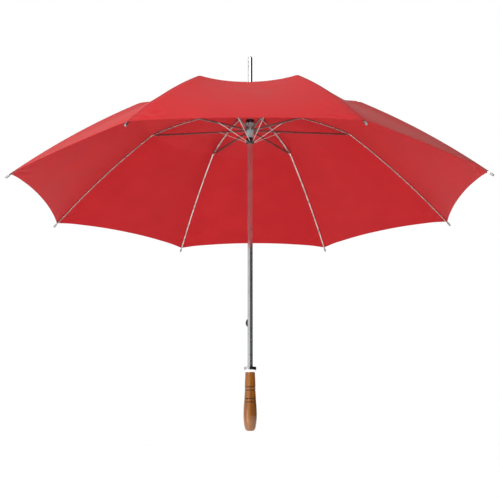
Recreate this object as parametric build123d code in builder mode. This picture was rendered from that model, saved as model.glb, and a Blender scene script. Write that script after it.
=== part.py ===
"""Stick umbrella: eight ribs on a tubular shaft, an eight-panel canopy and a turned wooden handle.

Millimetres.  +Z runs up the shaft to the ferrule.  The origin is the centre of the handle's flat end.
The umbrella stands open.  Rib 1 points 22.5 degrees from +X towards +Y, and the others follow at 45.
"""
from build123d import *
from math import atan2, cos, degrees, hypot, pi, radians, sin, sqrt
import os

# ---------------------------------------------------------------- driving dimensions
total_height = 1042.0          # handle end to the top of the ferrule
ribs = 8

shaft_radius = 7.0
shaft_wall = 0.8
shaft_foot = 28.0              # the tube's lower end, inside the handle
fixed_fit = 0.02               # radial room of a piece that is glued or pressed on
running_fit = 0.06             # radial room of a piece that turns or slides

notch_drop = 162.0             # notch pivots below the top of the ferrule
pivot_wall = 4.0               # shaft to the wire that threads the rib and stretcher ends
pivot_wire_radius = 0.75
open_angle = 84.2              # of each arm from straight down, umbrella open
closed_angle = 4.2             # the same, umbrella closed
closed_runner_rise = 140.388   # runner pivot over the handle, umbrella closed

rim_radius = 648.0             # to the ends of the rib tips
rim_drop = 274.0               # rib ends below the notch pivots
inner_rib_rise = 12.6          # height of the inner rib's arc over its chord
outer_rib_rise = 10.5
rib_width = 4.0
rib_height = 3.2
rib_wall = 0.7
joint_drop = 4.2               # rib joint below the rib's middle line
joint_slope = 15.0             # of the rib's middle line at its joint
bend_reach = 9.0               # along the rib from its joint to its bending point
bend_pin_radius = 0.6
outer_rib_width = 3.4
outer_rib_height = 2.8
rib_web = 4.0                  # solid metal each side of a pivot or joint, along the rib
shoulder_gap = 0.7             # end of the outer rib's channel to the inner rib
tongue_step = 0.5              # the tongue runs this far into the outer rib

stretcher_width = 4.6
stretcher_height = 4.0
stretcher_wall = 0.8
stretcher_fork = 9.0           # length of the slot that straddles the rib's lug
joint_pin_radius = 1.0
pin_head = 0.7                 # a pin's head stands this far out round it
pin_head_height = 0.5
side_play = 0.3                # sideways room of a blade in its slot
end_play = 0.1                 # room at a blade's rounded end

tie_radius = 0.8
tie_head_radius = 1.05
tie_foot_radius = 0.7
tie_length = 96.0
tie_pivot_wall = 2.5           # shaft to the ties' pivot holes
tie_pivot_drop = 35.5          # below the runner pivot
tie_open_angle = 62.8          # from straight up, umbrella open
tie_side_gap = 0.2             # tie's head to the stretcher's side
tie_foot_past = 1.2            # the foot ends this far past the rib's plane

tip_radius = 2.8
tip_length = 12.0
tip_pocket = 6.0
tip_floor = 1.0                # of a tip, under its socket

canopy_thickness = 0.8
canopy_gap = 1.9               # canopy over the top of the ribs
canopy_lift = 21.0             # extra height of the canopy at the shaft
canopy_lift_reach = 150.0
canopy_sag = 20.0              # of a panel's middle line between two ribs
canopy_hole_gap = 3.0          # shaft to the canopy's middle hole
canopy_corner_inset = 7.0      # the panel's corner stops this far inside the rim circle
hem_depth = 69.0               # hollow of a panel's outer edge, inside the rim circle
panel_gap = 0.3
# Where a panel's cross-sections stand: shares of the way to the rib's bending point, then on to the rim.
inner_stations = (0.143, 0.302, 0.476, 0.699, 0.905, 1.0)
outer_stations = (0.089, 0.31, 0.546, 0.782, 1.0)
rim_overrun = 6.0              # the last one stands this far past the rim, before the hem is cut

notch_cover = 3.5              # notch outside its pivot wire's circle
notch_below = 8.0
notch_above = 12.0
notch_crown = 5.0              # height of the notch's sloping top
notch_crown_wall = 3.0
notch_slot_rise = 4.0          # slots' tops over the pivots
slot_wall = 1.8                # left between the bore and the notch's and runner's slots
edge_break = 1.0

runner_below = 22.5            # runner body under its pivot
runner_above = 30.0
runner_foot_wall = 1.5         # runner's wall at its foot, at its pivot and at its top
runner_waist_wall = 4.0
runner_top_wall = 5.6
runner_slot_drop = 3.0

tie_ring_height = 18.0
tie_ring_wall = 4.3
tie_ring_chamfer = 2.0
tie_ring_taper = 3.0
tie_ring_gap = 0.4
tie_slot_wall = 1.1            # left between the bore and the ties' slots
tie_slot_below = 2.0           # slots' lower ends under the tie pivots

catch_height = 21.0
catch_reach = 5.0              # how far a catch stands out of the shaft
catch_thickness = 1.4
catch_foot_thickness = 1.6     # of the wider foot inside the tube
catch_foot_past = 3.0          # foot beyond the blade, above and below
catch_bore_gap = 0.15
catch_slot_play = 0.1          # sideways room in the shaft's slot
window_play = 0.4              # room above and below a catch in the runner's window
window_rise = 0.2
anchor_rise = 44.5             # small hole for the bottom spring's tail, over the tip cup's foot
anchor_radius = 1.1

cap_radius = 19.0
cap_height = 7.0
cap_gap = 1.5                  # cap over the canopy
cap_rim = 1.2
cap_crown_wall = 3.0
shaft_past_cap = 1.55          # shaft over the top of the cap

ferrule_step = 0.5             # ferrule inside the shaft's outline
ferrule_round = 0.75           # rounding of its end, share of its radius
ferrule_spigot = 25.0

cup_gap = 1.0                  # cup over the handle
cup_height = 13.0
cup_reach = 9.4                # cup's outside beyond the shaft, room for the eight closed tips
cup_wall = 0.8
cup_floor = 2.0
cup_flare = 3.0                # cup's foot inside its rim
cup_flare_height = 5.0
cup_inner_flare = 3.5

handle_length = 150.0
handle_top_wall = 5.5
handle_neck_radius = 13.7
handle_shoulder_radius = 15.6
handle_bulb_radius = 17.4
handle_end_radius = 7.5
handle_end_round = 2.6         # bulb's outline inside its widest, near the end
bulb_low = 12.0
bulb_height = 42.0
shoulder_height = 77.5
neck_height = 107.7
groove_heights = (73.1, 81.8, 103.6, 111.8)
groove_radius = 1.0

# ---------------------------------------------------------------- places that follow from them
half_step = radians(180.0 / ribs)
azimuths = [180.0 / ribs + 360.0 / ribs * k for k in range(ribs)]
open_lean = radians(open_angle)

handle_top_radius = shaft_radius + handle_top_wall
cup_foot = handle_length + cup_gap
cup_radius = shaft_radius + cup_reach
anchor_height = cup_foot + anchor_rise
notch_pivot_height = total_height - notch_drop
pivot_circle = shaft_radius + pivot_wall
slot_floor = shaft_radius + slot_wall
canopy_hole = shaft_radius + canopy_hole_gap
notch_radius = pivot_circle + notch_cover
runner_foot_radius = shaft_radius + runner_foot_wall
runner_waist_radius = shaft_radius + runner_waist_wall
runner_top_radius = shaft_radius + runner_top_wall
tie_ring_radius = shaft_radius + tie_ring_wall
tie_pivot_circle = shaft_radius + tie_pivot_wall
ferrule_radius = shaft_radius - ferrule_step
rim_height = notch_pivot_height - rim_drop
hem_radius = rim_radius - hem_depth

# Two equal arms bring the runner from the notch down to its place over the handle.
closed_runner_height = handle_length + closed_runner_rise
arm_length = (notch_pivot_height - closed_runner_height) / (2 * cos(radians(closed_angle)))
joint_radius = pivot_circle + arm_length * sin(open_lean)
joint_height = notch_pivot_height - arm_length * cos(open_lean)
runner_pivot_height = joint_height - arm_length * cos(open_lean)


def arc_between(start, end, rise):
    """Centre and radius of an arc from start to end that stands rise above its chord."""
    run = end[0] - start[0]
    climb = end[1] - start[1]
    chord = hypot(run, climb)
    radius = chord * chord / (8 * rise) + rise / 2
    reach = radius - rise
    centre = ((start[0] + end[0]) / 2 + climb / chord * reach, (start[1] + end[1]) / 2 - run / chord * reach)
    return centre, radius


def arc_angle(centre, point):
    """Direction of a point seen from an arc's centre, in degrees."""
    return degrees(atan2(point[1] - centre[1], point[0] - centre[0]))


def arc_point(centre, radius, angle):
    """Point of an arc at a direction in degrees."""
    return (centre[0] + radius * cos(radians(angle)), centre[1] + radius * sin(radians(angle)))


notch_pivot = (pivot_circle, notch_pivot_height)
rib_joint = (joint_radius, joint_height)
runner_pivot = (pivot_circle, runner_pivot_height)

# The rib's middle line passes joint_drop over its joint, square to the line's slope there.
rib_over_joint = (joint_radius + joint_drop * sin(radians(joint_slope)),
                  joint_height + joint_drop * cos(radians(joint_slope)))
inner_centre, inner_radius = arc_between(notch_pivot, rib_over_joint, inner_rib_rise)
inner_start = arc_angle(inner_centre, notch_pivot)
inner_joint = arc_angle(inner_centre, rib_over_joint)
inner_bend = inner_joint - degrees(bend_reach / inner_radius)
bend_point = arc_point(inner_centre, inner_radius, inner_bend)

tip_end = (rim_radius, rim_height)
outer_centre, outer_radius = arc_between(bend_point, tip_end, outer_rib_rise)
outer_start = arc_angle(outer_centre, bend_point)
outer_tip = arc_angle(outer_centre, tip_end)
outer_end = outer_tip + degrees((tip_length - tip_pocket) / outer_radius)
cap_start = outer_tip + degrees(tip_length / outer_radius)


def wire_hole(width):
    """Radius of a blade's hole for the ring of wire, which curves as it crosses the blade."""
    curve = pivot_circle - sqrt(pivot_circle ** 2 - (width / 2) ** 2)
    return pivot_wire_radius + curve + running_fit


tongue_half = rib_height / 2 - rib_wall - end_play
lug_radius = stretcher_height / 2 - end_play


def rib_plane(azimuth):
    """Upright plane through the shaft: local x is the distance from the shaft, local y is height."""
    turn = radians(azimuth)
    return Plane(origin=(0, 0, 0), x_dir=(cos(turn), sin(turn), 0), z_dir=(sin(turn), -cos(turn), 0))


def band(centre, low, high, first, last):
    """Face between two arcs about one centre, from direction first down to direction last."""
    with BuildLine(mode=Mode.PRIVATE) as outline:
        upper = CenterArc(centre, high, first, last - first)
        lower = CenterArc(centre, low, first, last - first)
        Line(upper @ 0, lower @ 0)
        Line(upper @ 1, lower @ 1)
    return make_face(outline.edges(), mode=Mode.PRIVATE)


def save(part, label):
    """Name a finished part and write its STEP file."""
    part.part.label = label
    export_step(part.part, f"parts/{label}.step")


# ---------------------------------------------------------------- ribs
def inner_rib(plane):
    """Fluted rib from the notch to just past its joint, with the eye, the joint's lug and its pin."""
    half = rib_height / 2
    web = degrees(rib_web / inner_radius)
    past = edge_break              # cutters reach this far outside the metal
    with BuildPart() as rib:
        with BuildSketch(plane):
            add(band(inner_centre, inner_radius - half, inner_radius + half, inner_start, inner_bend))
            with Locations(notch_pivot):
                Circle(lug_radius)
            with Locations(bend_point):
                Circle(half)
        extrude(amount=rib_width / 2, both=True)
        # Flute, open downwards, in two lengths with solid metal between them at the joint.
        with BuildSketch(plane):
            add(band(inner_centre, inner_radius - half - past, inner_radius + half - rib_wall,
                     inner_start - web, inner_joint + web))
            add(band(inner_centre, inner_radius - half - past, inner_radius + half - rib_wall,
                     inner_joint - web, inner_bend - 2 * web))
            add(band(inner_centre, inner_radius - half - past, inner_radius + half + past,
                     inner_bend, inner_bend - 2 * web))
        extrude(amount=rib_width / 2 - rib_wall, both=True, mode=Mode.SUBTRACT)
        with BuildSketch(plane):
            with Locations(notch_pivot):
                Circle(wire_hole(rib_width))
            with Locations(bend_point):
                Circle(bend_pin_radius + running_fit)
        extrude(amount=rib_width, both=True, mode=Mode.SUBTRACT)
        # Lug that carries the stretcher, and the pin through it.
        with BuildSketch(plane):
            with BuildLine():
                Polyline((joint_radius - lug_radius, joint_height),
                         (joint_radius - lug_radius + edge_break, joint_height + joint_drop),
                         (joint_radius + lug_radius + edge_break, joint_height + joint_drop - edge_break),
                         (joint_radius + lug_radius, joint_height), close=True)
            make_face()
            with Locations(rib_joint):
                Circle(lug_radius)
        extrude(amount=stretcher_width / 2 - stretcher_wall - side_play / 2, both=True)
        with BuildSketch(plane):
            with Locations(rib_joint):
                Circle(joint_pin_radius)
        extrude(amount=stretcher_width / 2 + side_play, both=True)
        for side in (-1, 1):
            with BuildSketch(plane.offset(side * (stretcher_width / 2 + side_play))):
                with Locations(rib_joint):
                    Circle(joint_pin_radius + pin_head)
            extrude(amount=side * pin_head_height)
    return rib


def outer_rib(plane):
    """Thinner fluted rib from the bending point to the tip, with a tongue that sits in the inner rib."""
    half = outer_rib_height / 2
    shoulder = outer_start - degrees((rib_height / 2 + shoulder_gap) / outer_radius)
    web = degrees(rib_web / outer_radius)
    with BuildPart() as rib:
        with BuildSketch(plane):
            add(band(outer_centre, outer_radius - half, outer_radius + half, shoulder, outer_end))
        extrude(amount=outer_rib_width / 2, both=True)
        with BuildSketch(plane):
            add(band(outer_centre, outer_radius - half - edge_break, outer_radius + half - rib_wall,
                     shoulder - web, cap_start + web))
        extrude(amount=outer_rib_width / 2 - rib_wall, both=True, mode=Mode.SUBTRACT)
        with BuildSketch(plane):
            add(band(outer_centre, outer_radius - tongue_half, outer_radius + tongue_half,
                     outer_start, shoulder - degrees(tongue_step / outer_radius)))
            with Locations(bend_point):
                Circle(tongue_half)
        extrude(amount=rib_width / 2 - rib_wall - side_play / 2, both=True)
        with BuildSketch(plane):
            with Locations(bend_point):
                Circle(bend_pin_radius)
        extrude(amount=rib_width / 2, both=True)
    return rib


def rib_tip(plane):
    """Metal cap on the rib's end: a socket round the rib, closed by a ball."""
    base = arc_point(outer_centre, outer_radius, cap_start)
    away = radians(outer_tip - 90)
    axis_dir = (cos(away), sin(away))
    mouth = plane.from_local_coords(Vector(base[0], base[1], 0))
    outward = plane.from_local_coords(Vector(base[0] + axis_dir[0], base[1] + axis_dir[1], 0)) - mouth
    cap_plane = Plane(origin=mouth, x_dir=plane.z_dir, z_dir=outward)
    with BuildPart() as cap:
        with BuildSketch(cap_plane):
            Circle(tip_radius)
        extrude(amount=tip_length - tip_radius)
        with Locations(cap_plane.offset(tip_length - tip_radius)):
            Sphere(tip_radius)
        with BuildSketch(plane):
            add(band(outer_centre, outer_radius - outer_rib_height / 2 - fixed_fit,
                     outer_radius + outer_rib_height / 2 + fixed_fit,
                     cap_start + degrees(tip_floor / outer_radius),
                     outer_end - degrees(end_play / outer_radius)))
        extrude(amount=outer_rib_width / 2 + fixed_fit, both=True, mode=Mode.SUBTRACT)
    return cap


# ---------------------------------------------------------------- stretchers and ties
def stretcher(plane):
    """Channel from the rib joint down to the runner, open underneath, forked round the rib's lug."""
    lean = degrees(atan2(joint_height - runner_pivot_height, joint_radius - pivot_circle))
    middle = ((joint_radius + pivot_circle) / 2, (joint_height + runner_pivot_height) / 2)
    half = stretcher_height / 2
    inner_half = stretcher_width / 2 - stretcher_wall
    with BuildPart() as arm:
        with BuildSketch(plane):
            with Locations(Location((middle[0], middle[1], 0), (0, 0, lean))):
                SlotCenterToCenter(arm_length, stretcher_height)
        extrude(amount=stretcher_width / 2, both=True)
        with BuildSketch(plane):
            with Locations(Location((middle[0], middle[1], 0), (0, 0, lean))):
                with Locations((0, -stretcher_wall)):
                    Rectangle(arm_length + 3 * stretcher_height, stretcher_height)
                with Locations((arm_length / 2 - stretcher_fork / 2 + half, 0)):
                    Rectangle(stretcher_fork + half, 2 * stretcher_height)
        extrude(amount=inner_half, both=True, mode=Mode.SUBTRACT)
        with BuildSketch(plane):
            with Locations(rib_joint):
                Circle(joint_pin_radius + running_fit)
            with Locations(runner_pivot):
                Circle(wire_hole(stretcher_width))
        extrude(amount=stretcher_width, both=True, mode=Mode.SUBTRACT)
    return arm


tie_offset = stretcher_width / 2 + tie_head_radius + tie_side_gap
tie_pivot = (tie_pivot_circle, runner_pivot_height - tie_pivot_drop)
tie_foot = tie_offset + tie_foot_past
tie_heel = 1.5 * tie_radius        # the wire runs this far past its pivot


def tie_wire(plane):
    """Thin wire beside the stretcher, with its foot bent sideways into the tie ring."""
    lean = radians(90 - tie_open_angle)
    side = plane.offset(-tie_offset)
    foot = side.from_local_coords(Vector(tie_pivot[0], tie_pivot[1], 0))
    head = side.from_local_coords(
        Vector(tie_pivot[0] + tie_length * cos(lean), tie_pivot[1] + tie_length * sin(lean), 0))
    with BuildPart() as wire:
        with BuildSketch(Plane(origin=foot, z_dir=head - foot).offset(-tie_heel)):
            Circle(tie_radius)
        extrude(amount=tie_length + tie_heel)
        with BuildSketch(Plane(origin=head, z_dir=foot - head)):
            Circle(tie_head_radius)
        extrude(amount=4 * tie_radius)
        with BuildSketch(Plane(origin=foot, z_dir=plane.z_dir)):
            Circle(tie_foot_radius)
        extrude(amount=tie_foot)
    return wire


# ---------------------------------------------------------------- canopy
def canopy_top(radius):
    """Height of the canopy's upper side over a rib."""
    if radius < bend_point[0]:
        centre, size = inner_centre, inner_radius
    else:
        centre, size = outer_centre, outer_radius
    middle = centre[1] + sqrt(size * size - (radius - centre[0]) ** 2)
    slope = (radius - centre[0]) / size
    over = (rib_height / 2 + canopy_gap + canopy_thickness) / sqrt(1 - slope * slope)
    lift = canopy_lift * max(0.0, 1 - radius / canopy_lift_reach) ** 2
    return middle + over + lift


outer_reach = rim_radius + rim_overrun - bend_point[0]
panel_stations = [canopy_hole]
panel_stations += [bend_point[0] * share for share in inner_stations]
panel_stations += [bend_point[0] + outer_reach * share for share in outer_stations]


def canopy_panel(azimuth):
    """Fabric panel between one rib and the next, hollow between them, with a curved hem."""
    turn = radians(azimuth) + half_step
    ahead = Vector(cos(turn), sin(turn), 0)
    across = Vector(-sin(turn), cos(turn), 0)
    with BuildPart() as panel:
        for radius in panel_stations:
            reach = radius * cos(half_step)
            half_width = radius * sin(half_step) - panel_gap / 2
            top = canopy_top(radius)
            sag = canopy_sag * sin(pi * min(1.0, radius / rim_radius))
            with BuildSketch(Plane(origin=ahead * reach, x_dir=across, z_dir=ahead)):
                with BuildLine():
                    upper = ThreePointArc((-half_width, top), (0, top - sag - 0.01), (half_width, top))
                    lower = ThreePointArc((-half_width, top - canopy_thickness),
                                          (0, top - sag - canopy_thickness - 0.01),
                                          (half_width, top - canopy_thickness))
                    Line(upper @ 0, lower @ 0)
                    Line(upper @ 1, lower @ 1)
                make_face()
        loft(ruled=True)
        corner = rim_radius - canopy_corner_inset
        with BuildSketch(Plane(origin=(0, 0, 0), x_dir=ahead, z_dir=(0, 0, 1))):
            with BuildLine():
                hem = ThreePointArc((corner * cos(half_step), -corner * sin(half_step)), (hem_radius, 0),
                                    (corner * cos(half_step), corner * sin(half_step)))
                Polyline(hem @ 1, (0, 2 * corner), (-corner, 0), (0, -2 * corner), hem @ 0)
            make_face()
        extrude(amount=total_height, mode=Mode.INTERSECT)
    return panel


# ---------------------------------------------------------------- notch and runner
def blade_slots(low, high, outer, width):
    """Eight upright blocks that cut the blades' slots, from outside in to slot_floor."""
    mouth = outer + 2 * edge_break
    with BuildPart() as blocks:
        for azimuth in azimuths:
            with BuildSketch(rib_plane(azimuth)):
                with Locations(((slot_floor + mouth) / 2, (low + high) / 2)):
                    Rectangle(mouth - slot_floor, high - low)
            extrude(amount=width / 2, both=True)
    return blocks.part


def pivot_wire(height, room=0.0):
    """Ring of wire that threads the eight blades."""
    with BuildPart() as wire:
        with BuildSketch(Plane.XZ):
            with Locations((pivot_circle, height)):
                Circle(pivot_wire_radius + room)
        revolve(axis=Axis.Z)
    return wire


os.makedirs("parts", exist_ok=True)

notch_low = notch_pivot_height - notch_below
notch_high = notch_pivot_height + notch_above
with BuildPart() as top_notch:
    with BuildSketch(Plane.XZ):
        with BuildLine():
            Polyline((shaft_radius + fixed_fit, notch_low), (notch_radius - edge_break, notch_low),
                     (notch_radius, notch_low + edge_break), (notch_radius, notch_high - notch_crown),
                     (shaft_radius + notch_crown_wall, notch_high), (shaft_radius + fixed_fit, notch_high),
                     close=True)
        make_face()
    revolve(axis=Axis.Z)
    add(blade_slots(notch_low - edge_break, notch_pivot_height + notch_slot_rise, notch_radius,
                    rib_width + 2 * side_play),
        mode=Mode.SUBTRACT)
    add(pivot_wire(notch_pivot_height, fixed_fit).part, mode=Mode.SUBTRACT)
save(top_notch, "top_notch")
save(pivot_wire(notch_pivot_height), "notch_wire")

runner_low = runner_pivot_height - runner_below
runner_high = runner_pivot_height + runner_above
with BuildPart() as runner:
    with BuildSketch(Plane.XZ):
        with BuildLine():
            Polyline((shaft_radius + running_fit, runner_low), (runner_foot_radius, runner_low),
                     (runner_waist_radius, runner_pivot_height), (runner_top_radius, runner_high - edge_break),
                     (runner_top_radius - edge_break, runner_high), (shaft_radius + running_fit, runner_high),
                     close=True)
        make_face()
    revolve(axis=Axis.Z)
    add(blade_slots(runner_pivot_height - runner_slot_drop, runner_high + edge_break, runner_top_radius,
                    stretcher_width + 2 * side_play), mode=Mode.SUBTRACT)
    add(pivot_wire(runner_pivot_height, fixed_fit).part, mode=Mode.SUBTRACT)
    # Window for the catch, on the -X side.
    with BuildSketch(Plane.XZ):
        with Locations((-runner_top_radius, runner_pivot_height - catch_height / 2 + window_rise)):
            Rectangle(2 * (runner_top_radius - edge_break), catch_height + 2 * window_play)
    extrude(amount=catch_thickness / 2 + side_play, both=True, mode=Mode.SUBTRACT)
save(runner, "runner")
save(pivot_wire(runner_pivot_height), "runner_wire")

ring_high = runner_low - tie_ring_gap
with BuildPart() as tie_ring:
    with BuildSketch(Plane.XZ):
        with BuildLine():
            Polyline((shaft_radius + running_fit, ring_high - tie_ring_height),
                     (tie_ring_radius - tie_ring_chamfer, ring_high - tie_ring_height),
                     (tie_ring_radius, ring_high - tie_ring_height + tie_ring_taper),
                     (tie_ring_radius, ring_high - tie_ring_chamfer),
                     (runner_foot_radius, ring_high), (shaft_radius + running_fit, ring_high), close=True)
        make_face()
    revolve(axis=Axis.Z)
    slot_in = shaft_radius + tie_slot_wall
    slot_out = tie_ring_radius + runner_top_wall
    slot_low = tie_pivot[1] - tie_slot_below
    for azimuth in azimuths:
        with BuildSketch(rib_plane(azimuth).offset(-tie_offset)):
            with Locations(((slot_in + slot_out) / 2, (slot_low + runner_high) / 2)):
                Rectangle(slot_out - slot_in, runner_high - slot_low)
        extrude(amount=tie_radius + side_play, both=True, mode=Mode.SUBTRACT)
        with BuildSketch(rib_plane(azimuth).offset(-tie_offset)):
            with Locations(tie_pivot):
                Circle(tie_foot_radius + running_fit)
        extrude(amount=tie_foot + side_play, mode=Mode.SUBTRACT)
save(tie_ring, "tie_ring")

# ---------------------------------------------------------------- shaft and its catches
cap_low = canopy_top(cap_radius) + cap_gap
shaft_top = cap_low + cap_height + shaft_past_cap
bottom_catch_low = closed_runner_height - catch_height
top_catch_low = runner_pivot_height - catch_height
bore_radius = shaft_radius - shaft_wall
with BuildPart() as shaft:
    with BuildSketch(Plane.XY.offset(shaft_foot)):
        Circle(shaft_radius)
        Circle(bore_radius, mode=Mode.SUBTRACT)
    extrude(amount=shaft_top - shaft_foot)
    for low in (bottom_catch_low, top_catch_low):
        with BuildSketch(Plane.XZ):
            with Locations((-shaft_radius, low + catch_height / 2)):
                Rectangle(4 * shaft_wall, catch_height + 2 * side_play)
        extrude(amount=catch_thickness / 2 + catch_slot_play, both=True, mode=Mode.SUBTRACT)
    with BuildSketch(Plane.XZ):
        with Locations((0, anchor_height)):
            Circle(anchor_radius)
    extrude(amount=2 * shaft_radius, mode=Mode.SUBTRACT)
save(shaft, "shaft")


def catch(low):
    """Sprung catch: a half-moon blade through the shaft's slot on a wider foot inside the tube."""
    middle = low + catch_height / 2
    face = -(bore_radius - catch_bore_gap)
    with BuildPart() as blade:
        with BuildSketch(Plane.XZ):
            with BuildLine():
                bow = ThreePointArc((-shaft_radius, low), (-shaft_radius - catch_reach, middle),
                                    (-shaft_radius, low + catch_height))
                Polyline(bow @ 1, (face, low + catch_height), (face, low), bow @ 0)
            make_face()
            with Locations((face + catch_foot_thickness / 2, middle)):
                Rectangle(catch_foot_thickness, catch_height + 2 * catch_foot_past)
        extrude(amount=catch_thickness / 2, both=True)
    return blade


save(catch(top_catch_low), "top_catch")
save(catch(bottom_catch_low), "bottom_catch")

# ---------------------------------------------------------------- ferrule, cap, cup and handle
with BuildPart() as canopy_cap:
    with BuildSketch(Plane.XZ):
        with BuildLine():
            Polyline((shaft_radius + fixed_fit, cap_low + cap_rim), (cap_radius, cap_low),
                     (cap_radius, cap_low + cap_rim), (shaft_radius + cap_crown_wall, cap_low + cap_height),
                     (shaft_radius + fixed_fit, cap_low + cap_height),
                     close=True)
        make_face()
    revolve(axis=Axis.Z)
save(canopy_cap, "canopy_cap")

with BuildPart() as ferrule:
    with BuildSketch(Plane.XY.offset(shaft_top)):
        Circle(ferrule_radius)
    extrude(amount=total_height - shaft_top)
    fillet(ferrule.edges().sort_by(Axis.Z)[-1], radius=ferrule_radius * ferrule_round)
    with BuildSketch(Plane.XY.offset(shaft_top - ferrule_spigot)):
        Circle(bore_radius - fixed_fit)
    extrude(amount=ferrule_spigot)
save(ferrule, "ferrule")

with BuildPart() as tip_cup:
    with BuildSketch(Plane.XZ):
        with BuildLine():
            Polyline((shaft_radius + fixed_fit, cup_foot), (cup_radius - cup_flare, cup_foot),
                     (cup_radius, cup_foot + cup_flare_height), (cup_radius, cup_foot + cup_height),
                     (cup_radius - cup_wall, cup_foot + cup_height),
                     (cup_radius - cup_wall, cup_foot + cup_flare_height + cup_wall / 2),
                     (cup_radius - cup_inner_flare, cup_foot + cup_floor),
                     (shaft_radius + fixed_fit, cup_foot + cup_floor), close=True)
        make_face()
    revolve(axis=Axis.Z)
save(tip_cup, "tip_cup")

handle_outline = [(handle_end_radius, 0.0), (handle_bulb_radius - handle_end_round, bulb_low),
                  (handle_bulb_radius, bulb_height), (handle_shoulder_radius, shoulder_height),
                  (handle_neck_radius, neck_height), (handle_top_radius, handle_length)]


def handle_radius(height):
    """Radius of the turned outline between its shoulder points, along straight lines."""
    for (low_radius, low), (high_radius, high) in zip(handle_outline, handle_outline[1:]):
        if low <= height <= high:
            return low_radius + (high_radius - low_radius) * (height - low) / (high - low)
    return handle_top_radius


with BuildPart() as handle:
    with BuildSketch(Plane.XZ):
        with BuildLine():
            side = Spline(*handle_outline, tangents=[(1, 0.35), (-0.05, 1)])
            Polyline(side @ 1, (0, handle_length), (0, 0), side @ 0)
        make_face()
    revolve(axis=Axis.Z)
    with BuildSketch(Plane.XZ):
        for height in groove_heights:
            with Locations((handle_radius(height), height)):
                Circle(groove_radius)
    revolve(axis=Axis.Z, mode=Mode.SUBTRACT)
    with BuildSketch(Plane.XY.offset(shaft_foot)):
        Circle(shaft_radius + fixed_fit)
    extrude(amount=handle_length, mode=Mode.SUBTRACT)
save(handle, "handle")

# ---------------------------------------------------------------- the eight ribs and what they carry
for number, azimuth in enumerate(azimuths, start=1):
    plane = rib_plane(azimuth)
    save(inner_rib(plane), f"rib_inner_{number}")
    save(outer_rib(plane), f"rib_outer_{number}")
    save(rib_tip(plane), f"rib_tip_{number}")
    save(stretcher(plane), f"stretcher_{number}")
    save(tie_wire(plane), f"tie_wire_{number}")
    save(canopy_panel(azimuth), f"canopy_panel_{number}")
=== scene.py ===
# %% [markdown]
# # A red stick umbrella, held open
#
# This lesson dresses a working frame.  The shaft, ribs, stretchers, runner and handle come ready
# made from the CAD model, each on the body that moves it.  What is missing is the cloth, its
# stitching and every finish.  The cloth is built first as plain geometry, because an umbrella's
# whole shape comes from how its panels hang between the ribs, and the finishes follow.

import bpy
import math
import numpy as np
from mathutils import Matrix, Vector


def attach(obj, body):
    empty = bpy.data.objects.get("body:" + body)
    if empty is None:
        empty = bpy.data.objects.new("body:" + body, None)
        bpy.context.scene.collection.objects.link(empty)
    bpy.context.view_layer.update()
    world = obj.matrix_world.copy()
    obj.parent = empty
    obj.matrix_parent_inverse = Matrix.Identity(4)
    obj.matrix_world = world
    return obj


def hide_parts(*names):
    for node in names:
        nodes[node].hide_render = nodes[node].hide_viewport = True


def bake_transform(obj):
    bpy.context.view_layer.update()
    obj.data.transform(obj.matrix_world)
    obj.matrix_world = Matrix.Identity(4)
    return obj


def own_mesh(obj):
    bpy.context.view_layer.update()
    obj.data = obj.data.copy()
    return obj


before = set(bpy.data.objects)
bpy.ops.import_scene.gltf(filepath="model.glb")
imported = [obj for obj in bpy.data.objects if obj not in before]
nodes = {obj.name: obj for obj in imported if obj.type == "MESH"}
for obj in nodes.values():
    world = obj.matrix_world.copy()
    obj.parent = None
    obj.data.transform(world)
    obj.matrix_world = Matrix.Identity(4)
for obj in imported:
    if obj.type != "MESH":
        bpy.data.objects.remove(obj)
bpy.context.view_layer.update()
MM = 0.001
RIBS = 8
STEP = math.radians(360 / RIBS)

# %% [markdown]
# ## Where the ribs run
#
# Cloth pulled tight over an arched frame lies along the frame's outline, as a string does over a
# pulley, so its line over a rib is the upper hull of that rib's points.  The hull could be typed in
# as numbers, but reading it from the rib's own mesh keeps the cloth right if the frame changes.

# %% Read one rib's upper line
def rib_azimuth(number):
    """Direction of a rib about the shaft, counted from 1."""
    return STEP / 2 + STEP * (number - 1)


def profile_points(names, azimuth):
    """Distance from the shaft and height of every point of some nodes, in one rib's plane."""
    rows = []
    for name in names:
        for vertex in nodes[name].data.vertices:
            x, y, z = vertex.co
            rows.append((x * math.cos(azimuth) + y * math.sin(azimuth), z))
    return sorted(set((round(r, 5), round(z, 5)) for r, z in rows))


def upper_hull(points):
    """The points of the upper convex hull, from the shaft outwards."""
    hull = []
    for point in points:
        while len(hull) > 1:
            (ax, az), (bx, bz) = hull[-2], hull[-1]
            if (bx - ax) * (point[1] - az) - (bz - az) * (point[0] - ax) >= 0:
                hull.pop()
            else:
                break
        hull.append(point)
    return hull


rib_outline = upper_hull(profile_points(["rib_inner_1", "rib_outer_1"], rib_azimuth(1)))
bend_radius = max(r for r, z in profile_points(["rib_inner_1"], rib_azimuth(1)))
tip_radius = max(r for r, z in profile_points(["rib_tip_1"], rib_azimuth(1)))
print("hull points", len(rib_outline), "bend at", round(bend_radius, 4),
      "tips at", round(tip_radius, 4))

# %% [markdown]
# ## The shape of the cloth
#
# Each panel is a triangle sewn to its neighbours along the ribs.  It is pulled two ways: outwards
# over the arch of the ribs, and sideways from rib to rib.  Such a membrane is saddle shaped: arched
# along the ribs, hollow across them.  A cloth simulation would find the same surface, but slowly
# and with noise in it, so here it is written down: a straight line from rib to rib, less a sag that
# is greatest half way out.  The hem is cut hollow, and small tension folds run in from its corners.

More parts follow.
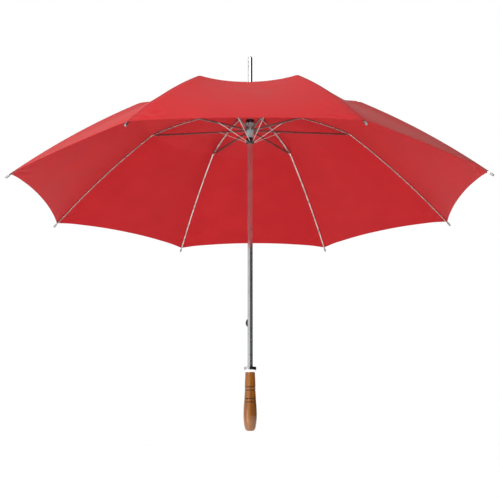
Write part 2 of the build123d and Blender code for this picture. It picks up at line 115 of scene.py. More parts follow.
# %% One function for every point of the canopy
HUB_RADIUS = 9.5 * MM
HUB_LIFT = 20 * MM           # the cloth is gathered above the notch, higher than the ribs
HUB_REACH = 150 * MM
CLOTH_GAP = 1.0 * MM         # between a rib and the cloth's middle
PANEL_SAG = 17 * MM
SAG_END = 610 * MM
HEM_MIDDLE = 577 * MM
CORNER = tip_radius - 11 * MM
HEM_POWER = 2.2              # how late the hem turns out towards its corners
FOLD_DEPTH = 1.3 * MM
FOLD_REACH = 85 * MM
FOLD_START = 38 * MM         # from the corner to where its folds are deepest
FOLD_FADE = 2.2
FOLD_WAVES = 19
SMOOTHING_PASSES = 25

hull_r = np.array([r for r, z in rib_outline])
hull_z = np.array([z for r, z in rib_outline])
fine_r = np.linspace(0.0, tip_radius, 400)
fine_z = np.interp(fine_r, hull_r, hull_z)
for _ in range(SMOOTHING_PASSES):
    fine_z[1:-1] = (fine_z[:-2] + 2 * fine_z[1:-1] + fine_z[2:]) / 4


def cloth_over_rib(radius):
    """Height of the cloth's middle over a rib, at a distance from the shaft."""
    base = np.interp(radius, fine_r, fine_z) + CLOTH_GAP
    return base + HUB_LIFT * np.clip(1 - radius / HUB_REACH, 0, 1) ** 2


def hem_at(across):
    """Rib distance at which the hem cuts the panel: across is -1 and 1 on its ribs, 0 between."""
    middle = HEM_MIDDLE / math.cos(STEP / 2)
    return middle + (CORNER - middle) * np.abs(across) ** HEM_POWER


def cloth_point(number, radius, across):
    """Point of the panel that follows rib number: radius along the ribs, across from -1 to 1."""
    middle = rib_azimuth(number) + STEP / 2
    ahead = radius * math.cos(STEP / 2)
    side = radius * math.sin(STEP / 2) * across
    sag = PANEL_SAG * np.sin(math.pi * np.minimum(radius, SAG_END * 1.05) / SAG_END)
    height = cloth_over_rib(radius) - sag * (1 - across ** 2)
    corner_side = np.sign(across + 1e-9) * CORNER * math.sin(STEP / 2)
    from_corner = np.hypot(ahead - CORNER * math.cos(STEP / 2), side - corner_side)
    bearing = np.arctan2(CORNER * math.cos(STEP / 2) - ahead, np.abs(corner_side - side) + 1e-6)
    fade = np.exp(-((from_corner - FOLD_START) / FOLD_REACH * FOLD_FADE) ** 2)
    folds = np.sin(bearing * FOLD_WAVES) * fade
    height = height + FOLD_DEPTH * folds * (1 - np.abs(across) ** 8)
    x = ahead * math.cos(middle) - side * math.sin(middle)
    y = ahead * math.sin(middle) + side * math.cos(middle)
    return np.stack([x, y, height], axis=-1)


print("cloth at the hub", round(float(cloth_over_rib(HUB_RADIUS)), 4), "at a corner",
      round(float(cloth_over_rib(CORNER)), 4))

# %% [markdown]
# ## Sectors instead of panels
#
# The cloth is sewn to the ribs, so each rib carries the half panel on its left and the half on its
# right.  One sheet over all eight ribs would be truer, but it could not follow them.  A sector is
# cut where the rib bends, because the inner and the outer rib are two bodies.  All pieces share
# their border points and take their normals from the same function, so no cut shows while the
# umbrella is open.

# %% Build a sector as a thin closed sheet
CLOTH_THICK = 0.35 * MM
HEM_WIDTH = 9 * MM
SEAM_WIDTH = 4 * MM
HEM_STEP = 1.5 * MM          # over which the turned-up hem grows to its full thickness
EXTRA_LAYER = 0.9            # share by which seams and hem are thicker
COLUMNS = 26
NUDGE = 0.0008               # metres along the rib, and
LEAN = 0.002                 # a share of the width, to find the cloth's direction


def sector_grid(number, rows, inside, outside):
    """Points, unit normals and thickness of a sector between two distances; None is its own edge."""
    shares = np.linspace(-0.5, 0.5, COLUMNS + 1)
    points = np.zeros((rows + 1, COLUMNS + 1, 3))
    normals = np.zeros_like(points)
    thick = np.zeros(points.shape[:2])
    for column, share in enumerate(shares):
        panel = number if share >= 0 else number - 1
        across = 2 * share - 1 if share >= 0 else 2 * share + 1
        hem = float(hem_at(np.array(across)))
        start = HUB_RADIUS if inside is None else inside
        stop = hem if outside is None else outside
        radius = np.linspace(start, stop, rows + 1)
        value = np.full_like(radius, across)
        points[:, column] = cloth_point(panel, radius, value)
        along = cloth_point(panel, radius + NUDGE, value) - cloth_point(panel, radius - NUDGE, value)
        lean = np.clip(value, -1 + LEAN, 1 - LEAN)
        aside = cloth_point(panel, radius, lean + LEAN) - cloth_point(panel, radius, lean - LEAN)
        normal = np.cross(along, aside)
        normals[:, column] = normal / np.linalg.norm(normal, axis=1, keepdims=True)
        seam = np.exp(-(((1 - abs(across)) * radius * math.sin(STEP / 2)) / SEAM_WIDTH) ** 4)
        band = np.clip((HEM_WIDTH - (hem - radius)) / HEM_STEP, 0, 1)
        thick[:, column] = CLOTH_THICK * (1 + EXTRA_LAYER * np.maximum(seam, band))
    middle = COLUMNS // 2
    normals[:, middle] = normals[:, middle - 1] + normals[:, middle + 1]
    normals[:, middle] /= np.linalg.norm(normals[:, middle], axis=1, keepdims=True)
    return points, normals, thick


def half_sector_mesh(name, number, side, rows, inside, outside):
    """A closed sheet on one side of a rib: its upper face, lower face and the narrow edge between."""
    columns = COLUMNS // 2
    first = columns if side == "left" else 0
    taken = slice(first, first + columns + 1)
    points, normals, thick = (grid[:, taken] for grid in sector_grid(number, rows, inside, outside))
    count = (rows + 1) * (columns + 1)
    half = thick[..., None] / 2
    upper = (points + normals * half).reshape(-1, 3)
    lower = (points - normals * half).reshape(-1, 3)
    at = lambda r, c: r * (columns + 1) + c
    faces = []
    for r in range(rows):
        for c in range(columns):
            top = (at(r, c), at(r + 1, c), at(r + 1, c + 1), at(r, c + 1))
            faces.append(top)
            faces.append(tuple(count + top[i] for i in (0, 3, 2, 1)))
    loop = [at(0, c) for c in range(columns)] + [at(r, columns) for r in range(rows)]
    loop += [at(rows, c) for c in range(columns, 0, -1)] + [at(r, 0) for r in range(rows, 0, -1)]
    for a, b in zip(loop, loop[1:] + loop[:1]):
        faces.append((a, b, count + b, count + a))
    mesh = bpy.data.meshes.new(name)
    mesh.from_pydata(np.vstack([upper, lower]).tolist(), [], faces)
    flat = normals.reshape(-1, 3)
    corner_normals = []
    for polygon in mesh.polygons:
        edge_face = polygon.index >= 2 * rows * columns
        for vertex in polygon.vertices:
            if edge_face:
                corner_normals.append(tuple(polygon.normal))
            elif vertex < count:
                corner_normals.append(tuple(flat[vertex]))
            else:
                corner_normals.append(tuple(-flat[vertex - count]))
        polygon.use_smooth = True
    uv = mesh.uv_layers.new(name="cloth")
    for corner, vertex in enumerate(v for polygon in mesh.polygons for v in polygon.vertices):
        row, column = divmod(vertex % count, columns + 1)
        radius = math.hypot(*points[row, column][:2])
        share = (column + first) / COLUMNS - 0.5
        to_hem = float(hem_at(np.array(1 - 2 * abs(share)))) - radius
        uv.data[corner].uv = (to_hem, share * STEP * radius)
    mesh.normals_split_custom_set(corner_normals)
    return mesh


# %% [markdown]
# ## Cutting the cloth
#
# Every sector is also parted along its rib, into a left and a right half.  A half is almost flat;
# the real cloth folds against its rib in one direction when the frame closes.
# A short piece next to the shaft is cut off too, because there the cloth is held at both ends: by
# the cap at the shaft and by the rib further out.

# %% Cut the half sectors
HUB_ROWS = 8
INNER_ROWS = 28
OUTER_ROWS = 44
HUB_CUT = 52 * MM
pieces = {}
for number in range(1, RIBS + 1):
    for part, body, rows, inside, outside in (
        ("hub", f"rib_{number}", HUB_ROWS, None, HUB_CUT),
        ("inner", f"rib_{number}", INNER_ROWS, HUB_CUT, bend_radius),
        ("outer", f"rib_{number}_outer", OUTER_ROWS, bend_radius, None),
    ):
        for side in ("left", "right"):
            name = f"canopy_{part}_{side}_{number}"
            mesh = half_sector_mesh(name, number, side, rows, inside, outside)
            sheet = bpy.data.objects.new(name, mesh)
            bpy.context.collection.objects.link(sheet)
            pieces[part, side, number] = (sheet, body)
print("cloth faces", sum(len(sheet.data.polygons) for sheet, body in pieces.values()))

# %% [markdown]
# ## Thread
#
# The hem is turned up and sewn with a running stitch, and a row runs down each side of every rib
# seam.  A stitch is only two millimetres long, so each is a small rounded grain of thread.  A few
# thousand of them placed by hand would be hopeless, so a Geometry Nodes tree walks along a line
# and puts one at every step.  Its sizes are inputs, so a coarser seam is one number away.

# %% A Geometry Nodes tree that sews along a line
STITCHES = {"Spacing": 0.0035, "Stitch Length": 0.0024, "Thread Radius": 0.0002}


def sewing_tree():
    """Stitches at even steps along every edge line of the input mesh."""
    tree = bpy.data.node_groups.new("running_stitch", "GeometryNodeTree")
    face = tree.interface
    face.new_socket("Geometry", in_out="INPUT", socket_type="NodeSocketGeometry")
    for label, size in STITCHES.items():
        socket = face.new_socket(label, in_out="INPUT", socket_type="NodeSocketFloat")
        socket.default_value = size
    face.new_socket("Thread", in_out="INPUT", socket_type="NodeSocketMaterial")
    face.new_socket("Geometry", in_out="OUTPUT", socket_type="NodeSocketGeometry")
    add = tree.nodes.new
    link = tree.links.new
    given = add("NodeGroupInput")
    to_curve = add("GeometryNodeMeshToCurve")
    walk = add("GeometryNodeCurveToPoints")
    walk.mode = "LENGTH"
    grain = add("GeometryNodeMeshUVSphere")
    grain.inputs["Segments"].default_value = 6
    grain.inputs["Rings"].default_value = 4
    grain.inputs["Radius"].default_value = 1.0
    shape = add("ShaderNodeCombineXYZ")
    halve = add("ShaderNodeMath")
    halve.operation = "MULTIPLY"
    halve.inputs[1].default_value = 0.5
    aim = add("FunctionNodeAlignRotationToVector")
    aim.axis = "Z"
    place = add("GeometryNodeInstanceOnPoints")
    real = add("GeometryNodeRealizeInstances")
    dye = add("GeometryNodeSetMaterial")
    out = add("NodeGroupOutput")
    link(given.outputs["Geometry"], to_curve.inputs["Mesh"])
    link(to_curve.outputs["Curve"], walk.inputs["Curve"])
    link(given.outputs["Spacing"], walk.inputs["Length"])
    link(walk.outputs["Points"], place.inputs["Points"])
    link(walk.outputs["Tangent"], aim.inputs["Vector"])
    link(aim.outputs["Rotation"], place.inputs["Rotation"])
    link(grain.outputs["Mesh"], place.inputs["Instance"])
    link(given.outputs["Stitch Length"], halve.inputs[0])
    link(given.outputs["Thread Radius"], shape.inputs["X"])
    link(given.outputs["Thread Radius"], shape.inputs["Y"])
    link(halve.outputs["Value"], shape.inputs["Z"])
    link(shape.outputs["Vector"], place.inputs["Scale"])
    link(place.outputs["Instances"], real.inputs["Geometry"])
    link(real.outputs["Geometry"], dye.inputs["Geometry"])
    link(given.outputs["Thread"], dye.inputs["Material"])
    link(dye.outputs["Geometry"], out.inputs["Geometry"])
    return tree


def sew(name, lines, thread):
    """Run the tree along some lines of points and keep the result as a plain mesh object."""
    corners = []
    edges = []
    for line in lines:
        start = len(corners)
        corners += [tuple(point) for point in line]
        edges += [(start + i, start + i + 1) for i in range(len(line) - 1)]
    path = bpy.data.meshes.new(name + "_path")
    path.from_pydata(corners, edges, [])
    carrier = bpy.data.objects.new(name + "_path", path)
    bpy.context.collection.objects.link(carrier)
    modifier = carrier.modifiers.new("sew", "NODES")
    modifier.node_group = running_stitch
    values = {**STITCHES, "Thread": thread}
    for item in running_stitch.interface.items_tree:
        if item.in_out == "INPUT" and item.name in values:
            modifier[item.identifier] = values[item.name]
    depsgraph = bpy.context.evaluated_depsgraph_get()
    mesh = bpy.data.meshes.new_from_object(carrier.evaluated_get(depsgraph))
    bpy.data.objects.remove(carrier)
    mesh.name = name
    for polygon in mesh.polygons:
        polygon.use_smooth = True
    sewn = bpy.data.objects.new(name, mesh)
    bpy.context.collection.objects.link(sewn)
    return sewn


running_stitch = sewing_tree()
print("sewing tree nodes", len(running_stitch.nodes))

# %% [markdown]
# ## Short names for shader nodes
#
# A finish is a few dozen nodes and links.  They could be joined by hand in the shader editor.  Small
# functions keep each finish short enough to read here, and every finish is built the same way.

# %% Helpers for shader nodes
def new_group(name, inputs, outputs):
    """An empty shader group with its sockets, its input node and its output node."""
    tree = bpy.data.node_groups.new(name, "ShaderNodeTree")
    for label, value in inputs.items():
        socket = tree.interface.new_socket(label, in_out="INPUT", socket_type="NodeSocketFloat")
        socket.default_value = value
    for label in outputs:
        tree.interface.new_socket(label, in_out="OUTPUT", socket_type="NodeSocketFloat")
    return tree, tree.nodes.new("NodeGroupInput"), tree.nodes.new("NodeGroupOutput")


def math_node(tree, operation, first, second=None):
    """A Math node; a value may be a number or an output to link."""
    node = tree.nodes.new("ShaderNodeMath")
    node.operation = operation
    for index, value in enumerate(v for v in (first, second) if v is not None):
        if isinstance(value, (int, float)):
            node.inputs[index].default_value = value
        else:
            tree.links.new(value, node.inputs[index])
    return node.outputs["Value"]


def stretched(tree, source, scale):
    """A Mapping node that scales coordinates by three numbers."""
    node = tree.nodes.new("ShaderNodeMapping")
    node.inputs["Scale"].default_value = scale
    tree.links.new(source, node.inputs["Vector"])
    return node.outputs["Vector"]


def noise(tree, vector, scale, detail=4.0):
    """A noise texture's value."""
    node = tree.nodes.new("ShaderNodeTexNoise")
    node.inputs["Detail"].default_value = detail
    if isinstance(scale, (int, float)):
        node.inputs["Scale"].default_value = scale
    else:
        tree.links.new(scale, node.inputs["Scale"])
    tree.links.new(vector, node.inputs["Vector"])
    return node.outputs["Fac"]


def smooth_range(tree, value, low, high, out_low=0.0, out_high=1.0):
    """Map Range, clamped."""
    node = tree.nodes.new("ShaderNodeMapRange")
    for label, number in (("From Min", low), ("From Max", high),
                          ("To Min", out_low), ("To Max", out_high)):
        node.inputs[label].default_value = number
    tree.links.new(value, node.inputs["Value"])
    return node.outputs["Result"]


def mix_colour(tree, share, first, second):
    """Mix two colours; each may be a tuple or an output."""
    node = tree.nodes.new("ShaderNodeMix")
    node.data_type = "RGBA"
    tree.links.new(share, node.inputs["Factor"])
    for socket, value in ((node.inputs[6], first), (node.inputs[7], second)):
        if isinstance(value, tuple):
            socket.default_value = (*value, 1.0)
        else:
            tree.links.new(value, socket)
    return node.outputs[2]


# %% [markdown]
# ## Patterns that several finishes share
#
# Grain with its worn patches is one node group, and the cloth's weave is another.  They could be
# drawn again inside every finish, but a shared group keeps the finishes alike and is corrected in
# one place.  A group only hands out masks and heights.  The Principled shader itself stays in each
# material, where the export can read it.

# %% Shared groups: grain and weave
def grain_group():
    """Fine grain: a height and a wear mask from two sizes of noise on Object coordinates."""
    tree, given, out = new_group("fine_grain", {"Grain Scale": 900.0, "Wear Scale": 40.0},
                                 ("Height", "Wear"))
    place = tree.nodes.new("ShaderNodeTexCoord").outputs["Object"]
    tree.links.new(noise(tree, place, given.outputs["Grain Scale"]), out.inputs["Height"])
    worn = noise(tree, place, given.outputs["Wear Scale"], detail=6.0)
    tree.links.new(smooth_range(tree, worn, 0.45, 0.72), out.inputs["Wear"])
    return tree


def weave_group():
    """Plain weave on the cloth's own map: the height of crossing threads and a soft mottling."""
    tree, given, out = new_group("plain_weave", {"Threads": 1800.0, "Mottle Scale": 14.0},
                                 ("Height", "Mottle"))
    flat = tree.nodes.new("ShaderNodeTexCoord").outputs["UV"]
    heights = []
    for direction in ("X", "Y"):
        wave = tree.nodes.new("ShaderNodeTexWave")
        wave.bands_direction = direction
        wave.inputs["Distortion"].default_value = 0.6
        tree.links.new(flat, wave.inputs["Vector"])
        tree.links.new(given.outputs["Threads"], wave.inputs["Scale"])
        heights.append(wave.outputs["Fac"])
    tree.links.new(math_node(tree, "MULTIPLY", *heights), out.inputs["Height"])
    place = tree.nodes.new("ShaderNodeTexCoord").outputs["Object"]
    mottle = noise(tree, place, given.outputs["Mottle Scale"], detail=5.0)
    tree.links.new(mottle, out.inputs["Mottle"])
    return tree


fine_grain = grain_group()
plain_weave = weave_group()
print("groups", fine_grain.name, plain_weave.name)


# %% [markdown]
# ## Finishes
#
# Every finish starts from the same short function, which makes the material, its Principled shader
# and a bump from some height.  What differs is then a few lines each.

# %% The start of every finish
def finish(name, roughness, metallic=0.0, **sockets):
    """A material with its Principled shader; values that are even all over go on its sockets."""
    material = bpy.data.materials.new(name)
    material.use_nodes = True
    shader = material.node_tree.nodes["Principled BSDF"]
    shader.inputs["Roughness"].default_value = roughness
    shader.inputs["Metallic"].default_value = metallic
    for label, value in sockets.items():
        shader.inputs[label.replace("_", " ")].default_value = value
    return material, material.node_tree, shader


def use_group(tree, group, **inputs):
    """Place a shared group and set its named inputs."""
    node = tree.nodes.new("ShaderNodeGroup")
    node.node_tree = group
    for label, value in inputs.items():
        node.inputs[label.replace("_", " ")].default_value = value
    return node


def bump(tree, shader, height, strength, distance):
    """Feed a height to the shader's normal."""
    node = tree.nodes.new("ShaderNodeBump")
    node.inputs["Strength"].default_value = strength
    node.inputs["Distance"].default_value = distance
    tree.links.new(height, node.inputs["Height"])
    tree.links.new(node.outputs["Normal"], shader.inputs["Normal"])


# %% [markdown]
# ### Red polyester
#
# Umbrella cloth is thin, tightly woven polyester with a slight sheen.  Seen close, light catches
# each thread; from a few steps away only a soft gloss and a faint unevenness of the dye remain.

# %% Cloth and thread
EDGE_DARK = 1.2 * MM         # the folded edge passes no light, so it looks darker than the cloth
SEAM_DARK = 1.0 * MM
# A paler red for the painted highlight on the weave's raised crossings.
THREAD_HIGHLIGHT_RED = (0.44, 0.024, 0.024)
# The darker red of the painted shade where the cloth lies doubled and lets less light through.
DOUBLED_CLOTH_SHADE = (0.14, 0.004, 0.012)


def red_polyester():
    """Tightly woven red cloth with a low sheen."""
    material, tree, shader = finish("red_polyester", 0.6, Sheen_Weight=0.07, Sheen_Roughness=0.3,
                                    Sheen_Tint=(1.0, 0.6, 0.45, 1.0), Specular_IOR_Level=0.08)
    cloth = use_group(tree, plain_weave)
    tint = smooth_range(tree, cloth.outputs["Mottle"], 0.3, 0.7)
    colour = mix_colour(tree, tint, (0.35, 0.0085, 0.0125), (0.39, 0.012, 0.0148))
    # Painted highlight: the raised crossings of the weave are lightened, as where light catches each
    # thread.
    crossing = math_node(tree, "MULTIPLY", cloth.outputs["Height"], 0.25)
    colour = mix_colour(tree, crossing, colour, THREAD_HIGHLIGHT_RED)
    flat = tree.nodes.new("ShaderNodeSeparateXYZ")
    tree.links.new(tree.nodes.new("ShaderNodeTexCoord").outputs["UV"], flat.inputs["Vector"])
    edge = smooth_range(tree, flat.outputs["X"], EDGE_DARK, 2 * EDGE_DARK, 1.0, 0.0)
    from_seam = math_node(tree, "ABSOLUTE", flat.outputs["Y"])
    seam = smooth_range(tree, from_seam, SEAM_DARK, 2 * SEAM_DARK, 0.7, 0.0)
    # Painted shade: the hem band, the folded edge and the seams are mixed towards a darker red, where
    # doubled cloth lets less light through.
    doubled_shade = smooth_range(tree, flat.outputs["X"], HEM_WIDTH, 1.1 * HEM_WIDTH, 0.25, 0.0)
    doubled_shade = math_node(tree, "MAXIMUM", doubled_shade, math_node(tree, "MAXIMUM", edge, seam))
    tree.links.new(mix_colour(tree, doubled_shade, colour, DOUBLED_CLOTH_SHADE), shader.inputs["Base Color"])
    rough = smooth_range(tree, cloth.outputs["Mottle"], 0.2, 0.8, 0.46, 0.56)
    tree.links.new(rough, shader.inputs["Roughness"])
    bump(tree, shader, cloth.outputs["Height"], 0.35, 0.00012)
    return material


def red_thread():
    """Sewing thread, a shade darker than the cloth."""
    material, tree, shader = finish("red_thread", 0.6, Sheen_Weight=0.2)
    grain = use_group(tree, fine_grain, Grain_Scale=2500.0, Wear_Scale=300.0)
    colour = mix_colour(tree, grain.outputs["Wear"], (0.33, 0.012, 0.018), (0.42, 0.02, 0.025))
    tree.links.new(colour, shader.inputs["Base Color"])
    bump(tree, shader, grain.outputs["Height"], 0.3, 0.00005)
    return material


# %% [markdown]
# ### Metals
#
# The shaft and ferrule are plated and drawn, so their faint marks run lengthwise.  The ribs and
# stretchers are rolled strip with a duller plating, and the stretchers' copy of it is painted darker
# as shade.  One function makes them all from a colour, a roughness and how strongly the drawing
# marks show.

# %% Plated steel
def plated_steel(name, bright, dull, smooth, rough, marks, metal=1.0):
    """Metal whose grain runs up the shaft, with slightly duller worn patches."""
    material, tree, shader = finish(name, smooth, metallic=metal)
    grain = use_group(tree, fine_grain, Wear_Scale=60.0)
    place = tree.nodes.new("ShaderNodeTexCoord").outputs["Object"]
    drawn = noise(tree, stretched(tree, place, (1400.0, 1400.0, 25.0)), 1.0)
    tree.links.new(mix_colour(tree, grain.outputs["Wear"], bright, dull), shader.inputs["Base Color"])
    worn = math_node(tree, "MAXIMUM", grain.outputs["Wear"], smooth_range(tree, drawn, 0.55, 0.8))
    tree.links.new(smooth_range(tree, worn, 0.0, 1.0, smooth, rough), shader.inputs["Roughness"])
    bump(tree, shader, drawn, marks, 0.00003)
    return material


# %% [markdown]
# ### Moulded plastic and varnished wood
#
# Moulded parts have a fine spark-eroded grain.  The handle is turned from a pale hardwood, stained
# honey brown and varnished; four rings are burnt in by pressing a wire against the turning wood,
# which leaves a dark groove with scorched edges.

# %% Plastic and wood
def moulded(name, colour, scuffed, roughness):
    """Moulded plastic with a fine grain and lighter scuffs."""
    material, tree, shader = finish(name, roughness)
    grain = use_group(tree, fine_grain, Grain_Scale=1600.0, Wear_Scale=90.0)
    worn = mix_colour(tree, grain.outputs["Wear"], colour, scuffed)
    tree.links.new(worn, shader.inputs["Base Color"])
    tree.links.new(smooth_range(tree, grain.outputs["Wear"], 0.0, 1.0, roughness, roughness + 0.15),
                   shader.inputs["Roughness"])
    bump(tree, shader, grain.outputs["Height"], 0.25, 0.00008)
    return material


CROWN_LINE = 840.5 * MM


def two_tone_runner():
    """Grey-green nylon with the black crown that grips the stretchers, moulded in one."""
    material, tree, shader = finish("runner_nylon", 0.4)
    grain = use_group(tree, fine_grain, Grain_Scale=1600.0, Wear_Scale=90.0)
    height = tree.nodes.new("ShaderNodeSeparateXYZ")
    tree.links.new(tree.nodes.new("ShaderNodeTexCoord").outputs["Object"], height.inputs["Vector"])
    crown = smooth_range(tree, height.outputs["Z"], CROWN_LINE, CROWN_LINE + 0.3 * MM)
    body = mix_colour(tree, grain.outputs["Wear"], (0.3, 0.44, 0.45), (0.37, 0.5, 0.51))
    tree.links.new(mix_colour(tree, crown, body, (0.012, 0.012, 0.014)), shader.inputs["Base Color"])
    bump(tree, shader, grain.outputs["Height"], 0.25, 0.00008)
    return material


GROOVES = (73.1 * MM, 81.8 * MM, 103.6 * MM, 111.8 * MM)
BURN_WIDTH = 1.5 * MM


def varnished_wood():
    """Honey-brown turned wood under varnish, scorched in and beside the grooves."""
    material, tree, shader = finish("varnished_wood", 0.3, Coat_Roughness=0.08, Specular_IOR_Level=0.3)
    place = tree.nodes.new("ShaderNodeTexCoord").outputs["Object"]
    fibres = noise(tree, stretched(tree, place, (900.0, 900.0, 30.0)), 1.0, detail=6.0)
    figure = noise(tree, stretched(tree, place, (70.0, 70.0, 9.0)), 1.0, detail=3.0)
    bands = smooth_range(tree, figure, 0.35, 0.68)
    pale = mix_colour(tree, bands, (0.27, 0.098, 0.012), (0.14, 0.044, 0.005))
    pores = smooth_range(tree, fibres, 0.5, 0.75, 0.0, 0.45)
    grain = mix_colour(tree, pores, pale, (0.09, 0.026, 0.004))
    height = tree.nodes.new("ShaderNodeSeparateXYZ")
    tree.links.new(place, height.inputs["Vector"])
    burnt = None
    for groove in GROOVES:
        above = math_node(tree, "SUBTRACT", height.outputs["Z"], groove)
        distance = math_node(tree, "ABSOLUTE", above)
        ring = smooth_range(tree, distance, BURN_WIDTH * 0.5, BURN_WIDTH, 1.0, 0.0)
        burnt = ring if burnt is None else math_node(tree, "MAXIMUM", burnt, ring)
    tree.links.new(mix_colour(tree, burnt, grain, (0.03, 0.009, 0.004)), shader.inputs["Base Color"])
    tree.links.new(smooth_range(tree, burnt, 0.0, 1.0, 0.7, 0.0), shader.inputs["Coat Weight"])
    tree.links.new(smooth_range(tree, fibres, 0.3, 0.8, 0.26, 0.4), shader.inputs["Roughness"])
    bump(tree, shader, fibres, 0.12, 0.0001)
    return material


# %% [markdown]
# ## All finishes at once
#
# Every finish is made here, once, and the pieces share them.  Making one for each piece would give
# the same look but sixty materials to look after.

# %% Mix the finishes
cloth_red = red_polyester()
thread_red = red_thread()
tube_steel = plated_steel("tube_steel", (0.72, 0.75, 0.77), (0.62, 0.65, 0.67), 0.07, 0.14, 0.03,
                          metal=0.9)
rib_steel = plated_steel("rib_steel", (0.66, 0.63, 0.6), (0.44, 0.41, 0.4), 0.24, 0.4, 0.2)
# The stretchers take a darker copy of the rib steel: painted shade for the shadow they lie in under
# the canopy.
shaded_arm_steel = plated_steel("shaded_arm_steel", (0.36, 0.34, 0.33), (0.24, 0.23, 0.22), 0.3, 0.5, 0.25)
tip_steel = plated_steel("tip_steel", (0.3, 0.29, 0.3), (0.2, 0.2, 0.2), 0.35, 0.5, 0.2)
cup_chrome = plated_steel("cup_chrome", (0.8, 0.8, 0.82), (0.65, 0.65, 0.66), 0.08, 0.2, 0.05)
black_nylon = moulded("black_nylon", (0.012, 0.012, 0.014), (0.03, 0.03, 0.032), 0.42)
runner_nylon = two_tone_runner()
handle_wood = varnished_wood()
print("finishes", len(bpy.data.materials))

# %% [markdown]
# ## Dress the frame
#
# The CAD pieces have the right shape and stay where they are.  Each only trades its plain colour
# for a finish, by the name of the piece.

# %% Finishes of the frame's own pieces
FINISH_OF = {
    "shaft": tube_steel, "ferrule": tube_steel, "canopy_cap": black_nylon, "top_notch": black_nylon,
    "notch_wire": rib_steel, "runner": runner_nylon, "runner_wire": rib_steel, "tie_ring": black_nylon,
    "top_catch": black_nylon, "bottom_catch": black_nylon, "tip_cup": cup_chrome,
    "handle": handle_wood,
}
FINISH_OF_EACH = {
    "rib_inner": rib_steel, "rib_outer": rib_steel, "rib_tip": tip_steel, "stretcher": shaded_arm_steel,
    "tie_wire": rib_steel,
}
for kind, material in FINISH_OF_EACH.items():
    for number in range(1, RIBS + 1):
        FINISH_OF[f"{kind}_{number}"] = material
for name, material in FINISH_OF.items():
    for place in nodes[name].material_slots:
        place.material = material
print("dressed", len(FINISH_OF), "of", len(nodes))

# %% [markdown]
# ## Sew and hang the cloth
#
# A sector moves with its rib.  When the umbrella closes, the cloth between two ribs has nowhere to
# go, and falls into folds along each rib.

# %% Stitch lines on a sector
STITCH_LIFT = 0.34 * MM
HEM_INSET = 6 * MM
SEAM_INSET = 2.6 * MM
FIRST_STITCH = 24 * MM       # from the shaft
LINE_POINTS = 60
# Cloth length over distance from the shaft: estimated allowances for the slope, not derived.
START = {"hub": HUB_RADIUS, "inner": HUB_CUT, "outer": bend_radius}
STOP = {"hub": HUB_CUT, "inner": bend_radius, "outer": CORNER - HEM_INSET}


def lifted(number, radius, across):
    """Points just over the cloth, for thread to lie on."""
    line = cloth_point(number, radius, across)
    line[:, 2] += STITCH_LIFT + CLOTH_THICK / 2
    return line


def seam_line(number, side, start, stop):
    """The row of stitches beside a rib seam, on one of its panels."""
    radius = np.linspace(start, stop, LINE_POINTS)
    inset = np.minimum(SEAM_INSET / (radius * math.sin(STEP / 2)), 0.5)
    if side == "left":
        return lifted(number, radius, -1 + inset)
    return lifted(number - 1, radius, 1 - inset)


def hem_line(number, side):
    """The hem's row on one half of a sector."""
    panel, low, high = (number, -0.985, 0.0) if side == "left" else (number - 1, 0.0, 0.985)
    across = np.linspace(low, high, LINE_POINTS)
    return lifted(panel, hem_at(across) - HEM_INSET, across)


# %% [markdown]
# ## Putting the cloth on its bodies
#
# The hub piece is stretched between the cap and the rib, and is left in place on no body.
# The other pieces ride on their rib.  A cloth simulation could fold them more truly, but it would
# not follow the frame's one joint value.

# %% Thread, then put every half sector but the hub pieces on its body
cloth_area = {}
for (part, side, number), (sheet, body) in pieces.items():
    sheet.data.materials.append(cloth_red)
    start = FIRST_STITCH if part == "hub" else START[part]
    lines = [seam_line(number, side, start, STOP[part])]
    if part == "outer":
        lines.append(hem_line(number, side))
    thread = sew(f"stitches_{part}_{side}_{number}", lines, thread_red)
    for piece in (sheet, thread):
        if part == "hub":
            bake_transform(piece)
        else:
            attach(piece, body)
            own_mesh(piece)
    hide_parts(f"canopy_panel_{number}")
    # The area is measured on this same mesh, so it is not a check of the mesh.
    area = sum(p.area for p in sheet.data.polygons if p.normal.z > 0.2)
    cloth_area[part] = area
print("half sector areas", {part: round(area, 4) for part, area in cloth_area.items()})

# %% [markdown]
# ## The room
#
# The umbrella is shown held up in an even white studio, so the floor lies well below it.  Metal
# needs something dark to reflect, so light that bounces sees a studio with a darker side behind the
# camera, while the camera itself sees plain white.

# %% Floor, sky and lights
FLOOR_DROP = 0.4
FLOOR_HALF = 60.0


def pale_floor():
    """A matt white floor with the slightest unevenness."""
    material, tree, shader = finish("pale_floor", 0.9, Emission_Color=(1.0, 1.0, 1.0, 1.0),
                                    Emission_Strength=0.6)
    place = tree.nodes.new("ShaderNodeTexCoord").outputs["Object"]
    patch = noise(tree, place, 0.6)
    colour = mix_colour(tree, patch, (0.93, 0.93, 0.93), (0.96, 0.96, 0.96))
    tree.links.new(colour, shader.inputs["Base Color"])
    return material


floor_mesh = bpy.data.meshes.new("floor")
floor_corners = [(x * FLOOR_HALF, y * FLOOR_HALF, -FLOOR_DROP)
                 for x, y in ((-1, -1), (1, -1), (1, 1), (-1, 1))]
floor_mesh.from_pydata(floor_corners, [], [(0, 1, 2, 3)])
floor = bpy.data.objects.new("floor", floor_mesh)
bpy.context.collection.objects.link(floor)
floor_mesh.materials.append(pale_floor())

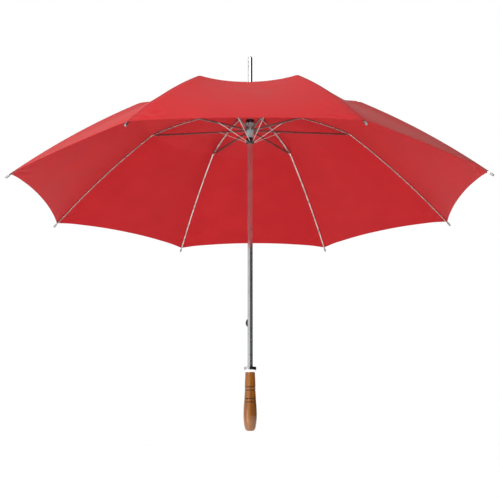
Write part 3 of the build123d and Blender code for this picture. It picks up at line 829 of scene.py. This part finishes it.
world = bpy.data.worlds.new("studio")
bpy.context.scene.world = world
world.use_nodes = True
sky = world.node_tree
sky.nodes.clear()
view_white = sky.nodes.new("ShaderNodeBackground")
view_white.inputs["Color"].default_value = (1.0, 1.0, 1.0, 1.0)
view_white.inputs["Strength"].default_value = 1.0
room = sky.nodes.new("ShaderNodeBackground")
room.inputs["Strength"].default_value = 0.66
direction = sky.nodes.new("ShaderNodeTexCoord").outputs["Generated"]
split = sky.nodes.new("ShaderNodeSeparateXYZ")
sky.links.new(direction, split.inputs["Vector"])
towards = math_node(sky, "SUBTRACT", math_node(sky, "MULTIPLY", split.outputs["X"], 0.93),
                    math_node(sky, "MULTIPLY", split.outputs["Y"], 0.36))
behind = smooth_range(sky, towards, 0.1, 0.3, 1.0, 0.01)
sky.links.new(mix_colour(sky, behind, (0.0, 0.0, 0.0), (1.0, 1.0, 1.0)), room.inputs["Color"])
rays = sky.nodes.new("ShaderNodeLightPath")
choose = sky.nodes.new("ShaderNodeMixShader")
sky.links.new(rays.outputs["Is Camera Ray"], choose.inputs["Fac"])
sky.links.new(room.outputs["Background"], choose.inputs[1])
sky.links.new(view_white.outputs["Background"], choose.inputs[2])
world_out = sky.nodes.new("ShaderNodeOutputWorld")
sky.links.new(choose.outputs["Shader"], world_out.inputs["Surface"])


def soft_light(name, place, aim, size, watts):
    """A square area light turned towards a point."""
    data = bpy.data.lights.new(name, "AREA")
    data.shape = "SQUARE"
    data.size = size
    data.energy = watts
    lamp = bpy.data.objects.new(name, data)
    lamp.location = place
    lamp.rotation_euler = (Vector(aim) - Vector(place)).to_track_quat("-Z", "Y").to_euler()
    bpy.context.collection.objects.link(lamp)


soft_light("key_light", (-1.2, -2.8, 2.4), (0, -0.3, 0.8), 1.6, 150)
soft_light("fill_light", (-1.9, -1.5, -0.1), (0, 0, 0.75), 0.9, 8)
print("lights", len(bpy.data.lights))

# %% [markdown]
# ## The camera
#
# The view is from a person's distance, a little below the handle's end and tilted up, which is what
# shows the top of the near panel and the underside of the far ones at once.

# %% Camera
LENS = 61.17
CAMERA_PLACE = (0.034, -2.239, -0.0236)
CAMERA_TILT = 12.63
CAMERA_TURN = 0.88

camera_data = bpy.data.cameras.new("camera")
camera_data.lens = LENS
camera_data.sensor_width = 36.0
camera = bpy.data.objects.new("camera", camera_data)
camera.location = CAMERA_PLACE
camera.rotation_euler = (math.radians(90 + CAMERA_TILT), 0, math.radians(CAMERA_TURN))
bpy.context.collection.objects.link(camera)
bpy.context.scene.camera = camera
bpy.context.scene.view_settings.view_transform = "Standard"
print("camera", CAMERA_PLACE, "tilt", CAMERA_TILT)
